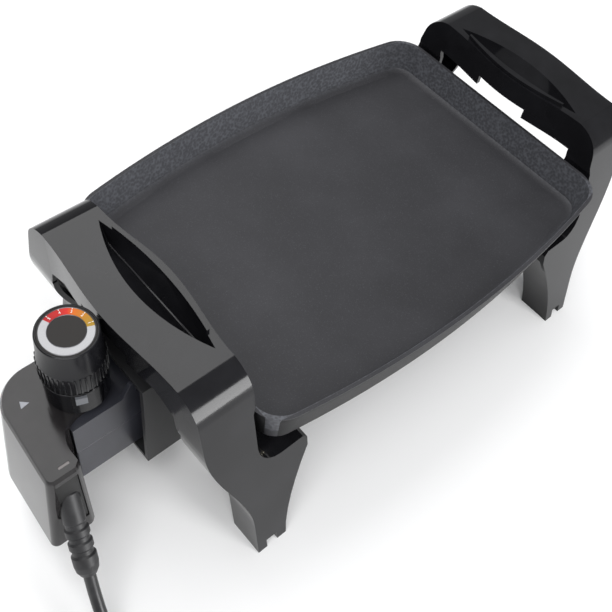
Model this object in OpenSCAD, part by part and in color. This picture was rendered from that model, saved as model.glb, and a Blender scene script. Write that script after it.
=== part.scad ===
// Table-top electric griddle: bowed pan, two moulded end frames, plug-in probe control with a cord.
// X runs from the control end to the free end, Y across the pan, Z up. Z = 0 is the table.

/* [Pan] */
// Half length of the rim, along X
pan_half = 140; // [120:1:165]
// Half width of the rim at its two short ends
pan_end_half = 90; // [75:1:100]
// How far each long side bows out at its middle
pan_bow = 14; // [4:1:20]
// Corner radius of the rim in plan
pan_corner_r = 20; // [12:1:28]
// Height of the rim above the table
rim_z = 125; // [110:1:140]
// Depth of the tray, from rim to floor
tray_depth = 22; // [14:1:26]
// Thickness of the cast floor
floor_t = 9; // [7:0.5:10]
// Thickness of the pan wall at the rim
rim_t = 2.6; // [2:0.1:4]
// How far the wall leans in from rim to floor
wall_lean = 5; // [3:0.5:8]

/* [End frames] */
// How far the handle deck stands above the rim
deck_rise = 31; // [27:1:45]
// Wall thickness of the moulding
frame_t = 3; // [2.4:0.1:3.6]
// Gap between the pan's end and the legs
end_gap = 2; // [1.5:0.5:4]
// Width of the deck at its two ends, along X
deck_w = 34; // [30:1:40]
// How far the outer edge of the deck bows out
deck_bow_out = 4; // [0:1:8]
// How far the inner edge of the deck bows over the pan
deck_bow_in = 6; // [0:1:10]
// Half length of the flat part of the deck
deck_flat = 56; // [50:1:60]
// Radius of the bend from deck to leg
bend_r = 20; // [14:1:24]
// Spread of each leg, in degrees from upright
leg_spread = 13; // [8:1:15]
// Width of a foot, along X
foot_w = 21.5; // [18:0.5:26]
// How far the foot's outer edge stands in from the deck's
foot_inset = 23; // [15:1:26]
// Depth of the flanges that stiffen a leg
flange_d = 24; // [22:1:28]
// Drop of the deck's skirt at its middle
skirt_drop = 15; // [13:1:20]

/* [Finger recess] */
// Half length of the leaf-shaped recess
leaf_half = 50; // [40:1:53]
// Depth of the crease below the deck
leaf_depth = 12; // [8:1:13]
// Height of the lip on the pan side
lip_h = 2.5; // [1:0.5:4]

/* [Inlet] */
// Half width of the shroud around the inlet pins
shroud_half = 31; // [28:1:36]
// How far the shroud reaches out past the frame's end
shroud_len = 33; // [30:1:36]
// How far the shroud reaches below the pins
shroud_down = 56.4; // [54:0.2:62]
// How far the shroud reaches above the pins
shroud_up = 27.6; // [14:0.2:32]
// Wall thickness of the shroud
shroud_t = 3; // [2:0.5:4]
// Half spacing of the two pins
pin_half = 10.5; // [10:0.5:12]
// Radius of an inlet pin
pin_r = 2.4; // [2:0.1:2.6]
// Radius of the temperature probe
probe_r = 3.2; // [2.6:0.1:3.4]

/* [Heating element] */
// Radius of the sheathed tube
element_r = 3.2; // [2.6:0.1:3.4]

/* [Control] */
// Half width of the arm that enters the shroud
arm_half = 18.5; // [18:0.5:20]
// How far the arm reaches below the pins
arm_down = 50.4; // [46:0.2:51]
// How far the arm reaches above the pins
arm_up = 7.6; // [6.6:0.2:9]
// How far the seam between the arm's halves lies below the pins
seam_down = 18.4; // [17:0.2:24]
// Wall thickness of the control's housings
case_t = 2.5; // [2:0.1:3]
// How far the top of the glossy cover stands above the pins
cover_up = 14.6; // [13:0.2:18]
// How far the cover reaches below the arm
cover_drop = 4; // [4:0.5:10]
// How far the side of the cover leans out from top to bottom
cover_lean = 8; // [4:1:10]

/* [Knob] */
// Radius of the knob's top
knob_r = 16; // [15:0.5:17]
// Height of the knob, from its lower edge to its top face
knob_h = 32.5; // [26:0.5:38]
// Height of the fixed collar under the knob
collar_h = 18.5; // [12:0.5:20]
// Gap between the collar and the knob
knob_gap = 1.5; // [0.5:0.5:3]
// Number of grip ribs
knob_ribs = 40; // [24:2:48]
// Height of the grip ribs
rib_h = 13; // [8:0.5:16]
// Radius of the dial's spindle
spindle_r = 3; // [2.5:0.1:3.5]

/* [Cord] */
// Diameter of the mains cord
cord_d = 7; // [6:0.5:7]
// Radius of the coil at the middle of its turns
coil_r = 39; // [36:1:42]
// Turns of cord in the coil
coil_turns = 2.75; // [1.75:1:3.75]

/* [Clearances] */
// Gap between moulded pieces that fit together
fit = 0.2; // [0.15:0.05:0.3]
// Radial gap of the probe in its bore, and of the pins in their sockets
slip = 0.3; // [0.25:0.05:0.4]
// Radial gap of the spindle in its bush
run = 0.05; // [0.03:0.01:0.08]

/* [Hidden] */
$fn = 64;
eps = 0.01;

// Pan heights
floor_z = rim_z - tray_depth;
pan_low = floor_z - floor_t;
deck_z = rim_z + deck_rise;

// End frame: outline in X and Z, profile in Y and Z
deck_in = pan_half;
deck_out = deck_in + deck_w;
leg_in = pan_half + end_gap;
foot_out = deck_out - foot_inset;
foot_in = foot_out - foot_w;
ledge_top = pan_low - 14;
ledge_tip = pan_half - 32;
scoop_top = pan_low - 2;
tan_spread = tan(leg_spread);
bend_y = deck_flat + bend_r * cos(leg_spread);
bend_z = deck_z - bend_r + bend_r * sin(leg_spread);
foot_y = bend_y + bend_z * tan_spread;
bow_half = deck_flat + 2;
screw_x = pan_half - 22;
screw_y = foot_y - (ledge_top * tan_spread) - frame_t - 11.5;
washer_t = 1.5;

// Inlet and arm, shared heights
conn_z = pan_low - 0.4 - element_r;
shroud_in = -(pan_half + 3);
shroud_out = shroud_in - shroud_len;
arm_end = shroud_in - 9;
arm_start = arm_end - 60;
block_x = arm_end - case_t - 0.1;
socket_out = block_x - 26;
pin_tip = arm_end - 20;
probe_tip = -(pan_half - 60);

shroud_low = conn_z - shroud_down;
shroud_high = conn_z + shroud_up;
arm_low = conn_z - arm_down;
arm_high = conn_z + arm_up;
arm_seam = conn_z - seam_down;
cover_top = conn_z + cover_up;
cover_low = arm_low - cover_drop;
knob_low = cover_top + collar_h + knob_gap;
knob_top = knob_low + knob_h;

// Control, in plan
knob_x = shroud_out - 20;
cover_right = knob_x + 9;
cover_left = knob_x - 43.5;
leg_right = knob_x - 23.5;
cover_front = -41;
cover_back = arm_half + 8.5;
inner_front = -13;
hollow_r = 17;
back_r = 22;
collar_r = 17.2;

// The whole part is centred on the object without its cord
control_left = cover_left + 1 - cover_lean;
part_x = -(control_left + deck_out + deck_bow_out) / 2;

// Strain relief: root, end and the angles of its axis
boot_root = [knob_x - 35, cover_front, conn_z - 18.4];
boot_len = 41.5;
boot_tilt = 138.5;
boot_turn = -109;
boot_r = 6.2;
boot_dir = [sin(boot_tilt) * cos(boot_turn), sin(boot_tilt) * sin(boot_turn), cos(boot_tilt)];
boot_end = boot_root + boot_len * boot_dir;

// Cord: points chosen along its free stretch, from the strain relief to the coil
cord_route = [[-243, -76, 30.5], [-246, -87, 20.5], [-248, -99, 12.5], [-250, -112, 7],
              [-252, -126, 4.5], [-253, -140, 4.2], [-254, -155, 4.2], [-254, -174, 4.2]];
// and from the end of the coil to the plug
tail_route = [[-205, -166, 4.2], [-211, -166.5, 5.6], [-217, -168, 7.9], [-226, -173.5, 11],
              [-234, -183, 12], [-237.5, -195, 12], [-236.5, -208, 12], [-230, -220, 12.5], [-220, -229, 14],
              [-209, -233, 15.5], [-200, -233, 15.5]];
coil_centre = [-205, -195];
coil_lift = 0.7;
coil_pitch = cord_d + 0.2;
coil_half = (coil_turns * coil_pitch + cord_d) / 2;
plug_at = [-200, -233, 15.5];
plug_size = [36, 24, 15];

// ---- shared shapes ----

function smooth(t) = let(u = max(0, min(1, t))) u * u * (3 - 2 * u);

// Sharp outline of the pan, before its corners are rounded
function pan_points() = [
    for (i = [-12:12]) let(x = pan_half * i / 12) [x, -pan_end_half - pan_bow * (1 - pow(i / 12, 2))],
    for (i = [12:-1:-12]) let(x = pan_half * i / 12) [x, pan_end_half + pan_bow * (1 - pow(i / 12, 2))]
];

module pan_outline(inset) {
    offset(r = pan_corner_r - inset)
        offset(delta = -pan_corner_r)
            polygon(pan_points());
}

module slab(z, inset) {
    translate([0, 0, z])
        linear_extrude(eps)
            pan_outline(inset);
}

// A polygon in X and Z, drawn from y0 to y1
module along_y(points, y0, y1) {
    translate([0, y1, 0])
        rotate([90, 0, 0])
            linear_extrude(y1 - y0)
                polygon(points);
}

// A polygon in Y and Z, drawn from x0 to x1
module along_x(points, x0, x1) {
    translate([x0, 0, 0])
        rotate([90, 0, 90])
            linear_extrude(x1 - x0)
                polygon(points);
}

module rod_x(x0, x1, r, y = 0, z = 0) {
    translate([x0, y, z])
        rotate([0, 90, 0])
            cylinder(h = x1 - x0, r = r);
}

module screw(head_z, head_r, head_h, shank_r, tip_z) {
    translate([0, 0, head_z - head_h])
        difference() {
            cylinder(h = head_h, r = head_r);
            translate([-head_r * 0.7, -0.4, -eps])
                cube([head_r * 1.4, 0.8, head_h * 0.4]);
            translate([-0.4, -head_r * 0.7, -eps])
                cube([0.8, head_r * 1.4, head_h * 0.4]);
        }
    translate([0, 0, head_z])
        cylinder(h = tip_z - head_z, r = shank_r);
}

// ---- pan and element ----

boss_r = 5.5;
lug_x = -(pan_half - 16);
lug_y = 20;

module pan_bosses() {
    for (sx = [-1, 1], sy = [-1, 1])
        translate([sx * screw_x, sy * screw_y, ledge_top + washer_t])
            cylinder(h = floor_z - ledge_top - 4, r = boss_r);
    for (sy = [-1, 1])
        translate([lug_x, sy * lug_y, pan_low - 7])
            cylinder(h = 11, r = 4.5);
    translate([-(pan_half - 7), -6, conn_z - 6.5])
        cube([62, 12, pan_low - conn_z + 10]);
}

module griddle_pan() {
    color([0.13, 0.13, 0.14])
        difference() {
            union() {
                hull() {
                    slab(pan_low, wall_lean + 1);
                    slab(rim_z - 4, 0.4);
                    slab(rim_z - eps, 0);
                }
                pan_bosses();
            }
            hull() {
                slab(floor_z, rim_t + wall_lean + 3);
                slab(floor_z + 3, rim_t + wall_lean * 0.75);
                slab(rim_z + 1, rim_t - 0.4);
            }
            for (sx = [-1, 1], sy = [-1, 1])
                translate([sx * screw_x, sy * screw_y, ledge_top])
                    cylinder(h = 11, r = 2);
            for (sy = [-1, 1])
                translate([lug_x, sy * lug_y, pan_low - 8])
                    cylinder(h = 9, r = 1.6);
            rod_x(-pan_half, probe_tip + 1, probe_r + slip, 0, conn_z);
        }
}

loop_out = pan_half - 35;
loop_half = 60;
bend_e = 15;

module tube_bend(x, y, a) {
    translate([x, y, conn_z])
        rotate([0, 0, a])
            rotate_extrude(angle = 90)
                translate([bend_e, 0])
                    circle(r = element_r);
}

module tube_x(x0, x1, y) {
    rod_x(x0, x1, element_r, y, conn_z);
}

module tube_y(x, y0, y1) {
    translate([x, y0, conn_z])
        rotate([-90, 0, 0])
            cylinder(h = y1 - y0, r = element_r);
}

loop_near = -(pan_half - 45);
end_x = arm_end + 2;

module element_half() {
    tube_x(end_x, loop_near - bend_e, pin_half);
    tube_bend(loop_near - bend_e, pin_half + bend_e, -90);
    tube_y(loop_near, pin_half + bend_e, loop_half - bend_e);
    tube_bend(loop_near + bend_e, loop_half - bend_e, 90);
    tube_x(loop_near + bend_e, loop_out - bend_e, loop_half);
    tube_bend(loop_out - bend_e, loop_half - bend_e, 0);
    tube_y(loop_out, 0, loop_half - bend_e);
}

module heating_element() {
    color([0.35, 0.35, 0.36])
        union() {
            element_half();
            mirror([0, 1, 0])
                element_half();
        }
}

module element_clamps() {
    color([0.7, 0.7, 0.68])
        for (x = [-40, 50], sy = [-1, 1])
            translate([x - 6, sy * loop_half - element_r - 2, conn_z - element_r - 1.6])
                difference() {
                    cube([12, 2 * element_r + 4, pan_low - conn_z + element_r + 1.6]);
                    translate([-1, 1.6, 1.5])
                        cube([14, 2 * element_r + 0.8, 20]);
                }
}

module terminal_insulators() {
    color([0.93, 0.91, 0.86])
        for (sy = [-1, 1])
            difference() {
                rod_x(shroud_in - shroud_t - 3, shroud_in + 5, 5, sy * pin_half, conn_z);
                rod_x(shroud_in - shroud_t - 5, shroud_in + 7, element_r + 0.05, sy * pin_half, conn_z);
            }
}

module terminal_pins() {
    color([0.75, 0.72, 0.62])
        for (sy = [-1, 1])
            translate([pin_tip, sy * pin_half, conn_z])
                rotate([0, 90, 0])
                    rotate_extrude()
                        polygon([[0, 0], [pin_r - 1, 0], [pin_r, 1.5], [pin_r, end_x - pin_tip],
                                 [0, end_x - pin_tip]]);
}

// ---- end frames, drawn at the +X end ----

function outer_x(z) = foot_out + (deck_out - foot_out) * smooth((z - 30) / (deck_z - 66));

function frame_outline(top, low) = concat(
    [for (z = [low:6:deck_z - 36]) [outer_x(z), z]],
    [[deck_out, deck_z - 34], [deck_out, top], [deck_in, top], [deck_in, rim_z + 7],
     [leg_in, rim_z + 1], [leg_in, scoop_top + 6]],
    [for (a = [0:18:90]) [leg_in - 15 * (1 - cos(a)), scoop_top + 5 - (scoop_top + 5 - ledge_top) * sin(a)]],
    [[ledge_tip + 3, ledge_top], [ledge_tip, ledge_top - 3], [ledge_tip, ledge_top - 10]],
    [for (i = [1:6]) let(t = i / 6)
        [ledge_tip + (foot_in - ledge_tip) * (1 - pow(1 - t, 1.7)),
         (ledge_top - 10) * (1 - t) + low * t]]);

// Outer line of deck, bend and leg in Y and Z, moved in by d
function leg_line(d) = concat(
    [[0, deck_z - d], [deck_flat, deck_z - d]],
    [for (i = [1:8]) let(a = (90 - leg_spread) * i / 8)
        [deck_flat + (bend_r - d) * sin(a), deck_z - bend_r + (bend_r - d) * cos(a)]],
    [[foot_y - d / cos(leg_spread) + tan_spread, -1]]);

function leg_at(z) = foot_y - z * tan_spread;

function both_ways(points) = concat(
    [for (p = points) p],
    [for (i = [len(points) - 1:-1:1]) [-points[i][0], points[i][1]]]);

module leg_band(inner_points) {
    difference() {
        along_x(both_ways(leg_line(0)), ledge_tip - 5, deck_out + deck_bow_out + 2);
        along_x(both_ways(inner_points), ledge_tip - 6, deck_out + deck_bow_out + 3);
    }
}

// Space inside the flanges: it steps up over the middle of the deck
function flange_line() = [
    [0, deck_z - skirt_drop], [20, deck_z - skirt_drop], [20, deck_z - skirt_drop - 7],
    [40, deck_z - skirt_drop - 7], [leg_at(deck_z - 30) - flange_d, deck_z - 30],
    [leg_at(-2) - flange_d, -2]];

function bow(y) = abs(y) >= bow_half ? 0 : pow(cos(90 * y / bow_half), 2);

function deck_edge(sign, inset) = [
    for (i = [-20:20]) let(y = (bow_half + 0.5) * i / 20)
        sign > 0 ? [deck_out + deck_bow_out * bow(y) - inset, y]
                 : [deck_in - deck_bow_in * bow(y) + inset, y]];

function reversed(p) = [for (i = [len(p) - 1:-1:0]) p[i]];

module deck_strip(a, b, z0, z1) {
    translate([0, 0, z0])
        linear_extrude(z1 - z0)
            polygon(concat(a, reversed(b)));
}

leaf_x = deck_in + 5;
leaf_out = deck_out - 17;
leaf_in = deck_in - deck_bow_in + 5;

// One side of the leaf, from tip to tip; n drops the tips themselves when it is 15
function leaf_edge(side, grow, n = 16) = [
    for (i = [-n:n]) let(t = i / 16)
        [leaf_x + (side - leaf_x + grow * sign(side - leaf_x)) * (1 - t * t), (leaf_half + grow) * t]];

module leaf(grow, z0, h) {
    translate([0, 0, z0])
        linear_extrude(h)
            polygon(concat(leaf_edge(leaf_out, grow), reversed(leaf_edge(leaf_in, grow, 15))));
}

module crease(z, grow) {
    translate([leaf_x - grow, -leaf_half + 7, z])
        cube([2 * grow, 2 * leaf_half - 14, 0.5]);
}

module leaf_hollow() {
    hull() {
        leaf(0, deck_z, lip_h + 1);
        crease(deck_z - leaf_depth, 0.4);
    }
}

module leaf_shell() {
    hull() {
        leaf(1.2, deck_z - 2, 0.8);
        crease(deck_z - leaf_depth - 2, 1.5);
    }
}

// Raised lip along the pan side of the recess, fading out before the tips
module leaf_lip() {
    inner = leaf_edge(leaf_in, 0, 13);
    translate([0, 0, deck_z - 1])
        linear_extrude(lip_h + 1)
            polygon(concat([for (p = inner) [p[0] - 1 - 3 * bow(p[1]), p[1]]],
                           reversed([for (p = inner) [p[0] + 0.5, p[1]]])));
}

module frame_skin() {
    intersection() {
        along_y(frame_outline(deck_z + 1, -1), -foot_y - 2, foot_y + 2);
        leg_band(leg_line(frame_t));
    }
}

module frame_flanges() {
    intersection() {
        difference() {
            along_y(frame_outline(deck_z + 1, 0), -foot_y - 2, foot_y + 2);
            translate([0, foot_y + 3, 0])
                rotate([90, 0, 0])
                    linear_extrude(2 * foot_y + 6)
                        union() {
                            offset(delta = -frame_t)
                                polygon(frame_outline(deck_z + 1, 0));
                            translate([foot_in + frame_t, -5])
                                square([foot_w - 2 * frame_t, 12]);
                        }
        }
        leg_band(flange_line());
        for (s = [0, 1])
            mirror([0, s, 0])
                translate([0, bow_half, -1])
                    cube([deck_out + 20, foot_y, deck_z + 10]);
    }
}

module deck_walls() {
    intersection() {
        union() {
            deck_strip(deck_edge(1, 0), deck_edge(1, frame_t), deck_z - 40, deck_z);
            deck_strip(deck_edge(-1, 0), deck_edge(-1, frame_t), deck_z - 22, deck_z);
        }
        leg_band(flange_line());
    }
}

module foot_notches() {
    for (s = [-1, 1])
        translate([foot_in + foot_w / 2 - 4, s * (foot_y - 3) - 8, -1])
            cube([8, 16, 8]);
}

module end_frame() {
    difference() {
        union() {
            frame_skin();
            frame_flanges();
            deck_walls();
            deck_strip(deck_edge(1, 0), deck_edge(-1, 0), deck_z - frame_t, deck_z);
            leaf_shell();
            leaf_lip();
        }
        leaf_hollow();
        foot_notches();
        translate([0, -foot_y - 5, -5])
            cube([deck_out + 20, 2 * foot_y + 10, 5]);
        for (sy = [-1, 1])
            translate([screw_x, sy * screw_y, ledge_top - 8])
                cylinder(h = 12, r = 2.3);
    }
}

module right_end_frame() {
    color([0.16, 0.16, 0.17])
        end_frame();
}

module left_end_frame() {
    color([0.16, 0.16, 0.17])
        mirror([1, 0, 0])
            end_frame();
}

module frame_washers() {
    color([0.8, 0.78, 0.7])
        for (sx = [-1, 1], sy = [-1, 1])
            translate([sx * screw_x, sy * screw_y, ledge_top])
                difference() {
                    cylinder(h = washer_t, r = boss_r);
                    translate([0, 0, -1])
                        cylinder(h = washer_t + 2, r = 2.3);
                }
}

module frame_screws() {
    color([0.7, 0.7, 0.72])
        for (sx = [-1, 1], sy = [-1, 1])
            translate([sx * screw_x, sy * screw_y, 0])
                screw(ledge_top - frame_t, 3.8, 2.6, 1.9, ledge_top + 9);
}

// ---- inlet ----

module socket_shroud() {
    color([0.1, 0.1, 0.11])
        difference() {
            union() {
                translate([shroud_out, -shroud_half, shroud_low])
                    cube([shroud_in - shroud_out, 2 * shroud_half, shroud_high - shroud_low]);
                for (sy = [-1, 1])
                    translate([shroud_in - 1, sy * lug_y - 5.5, pan_low - 10])
                        cube([lug_x - shroud_in + 7, 11, 3]);
            }
            translate([shroud_out - 1, -shroud_half + shroud_t, shroud_low + shroud_t])
                cube([shroud_in - shroud_out - shroud_t + 1, 2 * (shroud_half - shroud_t),
                      shroud_high - shroud_low - 2 * shroud_t]);
            for (sy = [-1, 1])
                rod_x(shroud_in - shroud_t - 1, shroud_in + 1, 5.1, sy * pin_half, conn_z);
            rod_x(shroud_in - shroud_t - 1, shroud_in + 1, probe_r + 1.2, 0, conn_z);
            for (sy = [-1, 1])
                translate([lug_x, sy * lug_y, pan_low - 12])
                    cylinder(h = 8, r = 1.9);
        }
}

module shroud_screws() {
    color([0.7, 0.7, 0.72])
        for (sy = [-1, 1])
            translate([lug_x, sy * lug_y, 0])
                screw(pan_low - 10, 3.2, 2, 1.5, pan_low);
}

// ---- control housings ----

// Outline of the cover at one height, with its inner corner still filled in
module cover_outline(z, inset) {
    fall = (cover_top - z) / (cover_top - cover_low);
    lean = cover_lean * fall;
    lift = 3 * fall;
    hull() {
        translate([cover_left + back_r + 4 - lean, cover_back - back_r])
            circle(r = back_r - inset, $fn = 48);
        translate([cover_left + 5 - lean, cover_front + 5 - lift])
            circle(r = 4 - inset, $fn = 32);
        translate([leg_right - 4, cover_front + 5 - lift])
            circle(r = 4 - inset, $fn = 32);
        for (y = [inner_front + 4, cover_back - 4])
            translate([cover_right - 4, y])
                circle(r = 4 - inset, $fn = 32);
    }
}

// What the inner corner leaves free, with its rounded bottom
module notch_outline(inset) {
    union() {
        translate([leg_right + hollow_r, inner_front - hollow_r])
            circle(r = hollow_r + inset);
        translate([leg_right - inset, cover_front - 20])
            square([60, inner_front - hollow_r - cover_front + 20]);
        translate([leg_right + hollow_r, cover_front - 20])
            square([60, inner_front + inset - cover_front + 20]);
    }
}

module cover_slab(z, inset) {
    translate([0, 0, z])
        linear_extrude(eps)
            cover_outline(z, inset);
}

module cover_solid(inset, z0, z1) {
    difference() {
        hull() {
            cover_slab(z0, inset);
            cover_slab(z1 - 2.5, inset);
            cover_slab(z1 - eps, inset + 1.2);
        }
        translate([0, 0, z0 - 5])
            linear_extrude(z1 - z0 + 10)
                notch_outline(inset);
    }
}

module boot_axis() {
    translate(boot_root)
        rotate([0, boot_tilt, boot_turn])
            children();
}

module arm_space(gap) {
    translate([arm_start - gap, -arm_half - gap, arm_low - gap])
        cube([arm_end - arm_start + 2 * gap, 2 * (arm_half + gap), arm_high - arm_low + 2 * gap]);
}

panel_x0 = cover_left + 3.5;
panel_x1 = leg_right - 3;
panel_z0 = cover_low + 12;
panel_z1 = cover_top - 6;

module panel_window(gap) {
    translate([panel_x0 + gap, cover_front - 8, panel_z0 + gap])
        cube([panel_x1 - panel_x0 - 2 * gap, 14, panel_z1 - panel_z0 - 2 * gap]);
}

case_screws = [[cover_left + 4.5, -10], [knob_x - 4, cover_back - 6]];
lens_at = [knob_x - 30.5, -34.5];
lens_size = [6.4, 1.6];

module control_cover() {
    color([0.15, 0.15, 0.16])
        difference() {
            union() {
                difference() {
                    cover_solid(0, cover_low, cover_top);
                    translate([0, 0, -eps])
                        cover_solid(case_t, cover_low - 1, cover_top - case_t);
                }
                intersection() {
                    for (p = case_screws)
                        translate([p[0], p[1], cover_low + 3.7])
                            cylinder(h = cover_top - cover_low - 4.5, r = 3.6);
                    cover_solid(1, cover_low, cover_top - 1);
                }
            }
            arm_space(fit);
            panel_window(0);
            boot_axis()
                translate([0, 0, -14])
                    cylinder(h = 28, r = boot_r + fit);
            for (p = case_screws)
                translate([p[0], p[1], cover_low])
                    cylinder(h = 14, r = 1.5);
            translate([knob_x, 0, cover_top - 6])
                cylinder(h = 8, r = spindle_r + 2.2);
            translate([lens_at[0] - lens_size[0] / 2, lens_at[1] - lens_size[1] / 2, cover_top - 6])
                cube([lens_size[0], lens_size[1], 8]);
        }
}

module control_base() {
    color([0.1, 0.1, 0.1])
        translate([0, 0, cover_low + 0.5])
            linear_extrude(3)
                difference() {
                    cover_outline(cover_low + 3.5, case_t + fit);
                    notch_outline(case_t + fit);
                    for (p = case_screws)
                        translate([p[0], p[1]])
                            circle(r = 1.9);
                }
}

module cord_panel() {
    color([0.04, 0.04, 0.04])
        difference() {
            intersection() {
                cover_solid(0.8, cover_low, cover_top);
                panel_window(fit);
            }
            cover_solid(case_t, cover_low - 1, cover_top + 1);
            boot_axis()
                translate([0, 0, -30])
                    cylinder(h = 60, r = boot_r + fit);
        }
}

module arm_shell() {
    difference() {
        arm_space(0);
        translate([arm_start - 1, -arm_half + case_t, arm_low + case_t])
            cube([arm_end - arm_start - case_t + 1, 2 * (arm_half - case_t),
                  arm_high - arm_low - 2 * case_t]);
        for (s = [-1, 1])
            rod_x(arm_end - case_t - 1, arm_end + 1, pin_r + 0.6, s * pin_half, conn_z);
        rod_x(arm_end - case_t - 1, arm_end + 1, probe_r + fit, 0, conn_z);
        translate([knob_x, 0, arm_high - 6])
            cylinder(h = 8, r = spindle_r + 2.2);
    }
}

module latch_fin() {
    hull() {
        translate([shroud_out - 5, -arm_half, arm_high - 1])
            cube([9, 3, 1]);
        translate([shroud_out + 0.5, -arm_half, arm_high + 8])
            cube([3, 2.4, 2]);
    }
}

module arm_upper_half() {
    color([0.3, 0.31, 0.36])
        union() {
            intersection() {
                arm_shell();
                translate([arm_start - 5, -30, arm_seam + 0.2])
                    cube([90, 60, 60]);
            }
            latch_fin();
        }
}

module arm_lower_half() {
    color([0.3, 0.31, 0.36])
        intersection() {
            arm_shell();
            translate([arm_start - 5, -30, arm_low - 10])
                cube([90, 60, arm_seam - 0.2 - arm_low + 10]);
        }
}

module control_screws() {
    color([0.7, 0.7, 0.72])
        for (p = case_screws)
            translate([p[0], p[1], 0])
                screw(cover_low + 0.5, 2.6, 0.5, 1.4, cover_low + 12);
}

// ---- dial ----

module dial_collar() {
    color([0.05, 0.05, 0.05])
        translate([knob_x, 0, cover_top])
            difference() {
                cylinder(h = collar_h, r = collar_r);
                translate([0, 0, -1])
                    cylinder(h = collar_h - 1, r = collar_r - 3);
                translate([0, 0, -1])
                    cylinder(h = collar_h + 3, r = spindle_r + 2.2);
            }
}

module dial_pointer() {
    color([0.4, 0.4, 0.42])
        translate([knob_x, 0, cover_top + collar_h - 7])
            difference() {
                rotate([0, 0, -112])
                    translate([collar_r - 1, -3, 0])
                        cube([2.4, 6, 6]);
                translate([0, 0, -1])
                    cylinder(h = 14, r = collar_r + eps);
            }
}

module spindle_bush() {
    color([0.72, 0.6, 0.3])
        translate([knob_x, 0, arm_high - case_t - 2])
            difference() {
                union() {
                    cylinder(h = 2, r = spindle_r + 4);
                    cylinder(h = cover_top - arm_high + case_t + 6, r = spindle_r + 2);
                }
                translate([0, 0, -1])
                    cylinder(h = 40, r = spindle_r + run);
            }
}

module knob() {
    skirt = knob_r + 1.4;
    color([0.05, 0.05, 0.05])
        translate([knob_x, 0, 0])
            union() {
                difference() {
                    rotate_extrude()
                        polygon([[0, knob_low], [skirt - 0.6, knob_low], [skirt, knob_low + 0.8],
                                 [skirt, knob_low + rib_h + 1], [skirt - 0.5, knob_low + rib_h + 2.5],
                                 [knob_r, knob_top - 1.2], [knob_r - 0.8, knob_top], [0, knob_top]]);
                    translate([0, 0, knob_top - 1.2])
                        cylinder(h = 3, r = knob_r - 1.4);
                    translate([0, 0, knob_low - 1])
                        difference() {
                            cylinder(h = knob_top - knob_low - 3, r = knob_r - 2.4);
                            cylinder(h = knob_top - knob_low, r = spindle_r + 2.5);
                        }
                    translate([0, 0, knob_low - 1])
                        cylinder(h = knob_top - knob_low - 4, r = spindle_r);
                }
                for (i = [0:knob_ribs - 1])
                    rotate([0, 0, 360 * i / knob_ribs])
                        translate([skirt - 0.5, -0.55, knob_low + 0.8])
                            cube([1.1, 1.1, rib_h]);
            }
}

module knob_dial() {
    color([0.75, 0.75, 0.75])
        translate([knob_x, 0, knob_top - 1.2])
            cylinder(h = 1, r = knob_r - 1.45);
}

module dial_spindle() {
    color([0.7, 0.7, 0.72])
        translate([knob_x, 0, arm_seam + 6])
            cylinder(h = knob_top - 5 - arm_seam - 6, r = spindle_r);
}

// ---- inside the control ----

block_half = arm_half - case_t - fit;

module socket_block() {
    color([0.93, 0.91, 0.86])
        difference() {
            translate([block_x - 8, -block_half, conn_z - 8])
                cube([8, 2 * block_half, arm_high - case_t - fit - conn_z + 8]);
            for (s = [-1, 1])
                rod_x(block_x - 9, block_x + 1, pin_r + 0.6, s * pin_half, conn_z);
            rod_x(block_x - 9, block_x + 1, probe_r + eps, 0, conn_z);
        }
}

module terminal_sockets() {
    color([0.75, 0.65, 0.4])
        for (s = [-1, 1])
            difference() {
                rod_x(socket_out, block_x - 8.1, pin_r + 1, s * pin_half, conn_z);
                rod_x(socket_out + 3, block_x - 7, pin_r + slip, s * pin_half, conn_z);
            }
}

module probe_tube() {
    color([0.78, 0.78, 0.8])
        translate([socket_out + 2, 0, conn_z])
            rotate([0, 90, 0])
                rotate_extrude()
                    polygon([[0, 0], [probe_r, 0], [probe_r, probe_tip - socket_out - 4],
                             [probe_r - 1.2, probe_tip - socket_out - 2], [0, probe_tip - socket_out - 2]]);
}

frame_x = arm_start + 5;
bridge_z = arm_seam + 12;
base_z = arm_seam - 12;

module thermostat_frame() {
    color([0.72, 0.72, 0.74])
        union() {
            translate([frame_x, -12, base_z])
                cube([46, 24, 1.5]);
            for (s = [-1, 1])
                translate([frame_x, s * 11.25 - 0.75, base_z])
                    cube([22, 1.5, bridge_z - base_z + 1.5]);
            difference() {
                translate([frame_x, -12, bridge_z])
                    cube([22, 24, 1.5]);
                translate([knob_x, 0, bridge_z - 1])
                    cylinder(h = 4, r = spindle_r + 0.5);
            }
        }
}

stack_x = frame_x + 2;

module bimetal_strip() {
    color([0.75, 0.6, 0.45])
        translate([stack_x, -4, arm_seam + 4])
            cube([38, 8, 1]);
}

module contact_blades() {
    color([0.8, 0.62, 0.35]) {
        translate([stack_x, -3.5, base_z + 10])
            cube([38, 7, 0.8]);
        translate([stack_x, -3.5, base_z + 5])
            cube([38, 7, 0.8]);
        translate([stack_x + 34, 0, base_z + 5.8])
            cylinder(h = 2, r = 2.2);
        translate([stack_x + 34, 0, base_z + 8])
            cylinder(h = 2, r = 2.2);
    }
}

module contact_insulators() {
    color([0.93, 0.91, 0.86])
        translate([stack_x + 4, 0, 0]) {
            translate([0, 0, base_z + 1.5])
                cylinder(h = 3.5, r = 4);
            translate([0, 0, base_z + 5.8])
                cylinder(h = 4.2, r = 4);
            translate([0, 0, base_z + 10.8])
                cylinder(h = arm_seam + 4 - base_z - 10.8, r = 4);
        }
}

module pilot_lens() {
    color([0.55, 0.2, 0.12])
        translate([lens_at[0] - lens_size[0] / 2 + 0.1, lens_at[1] - lens_size[1] / 2 + 0.1,
                   cover_top - case_t - 2])
            cube([lens_size[0] - 0.2, lens_size[1] - 0.2, case_t + 1.8]);
}

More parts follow.
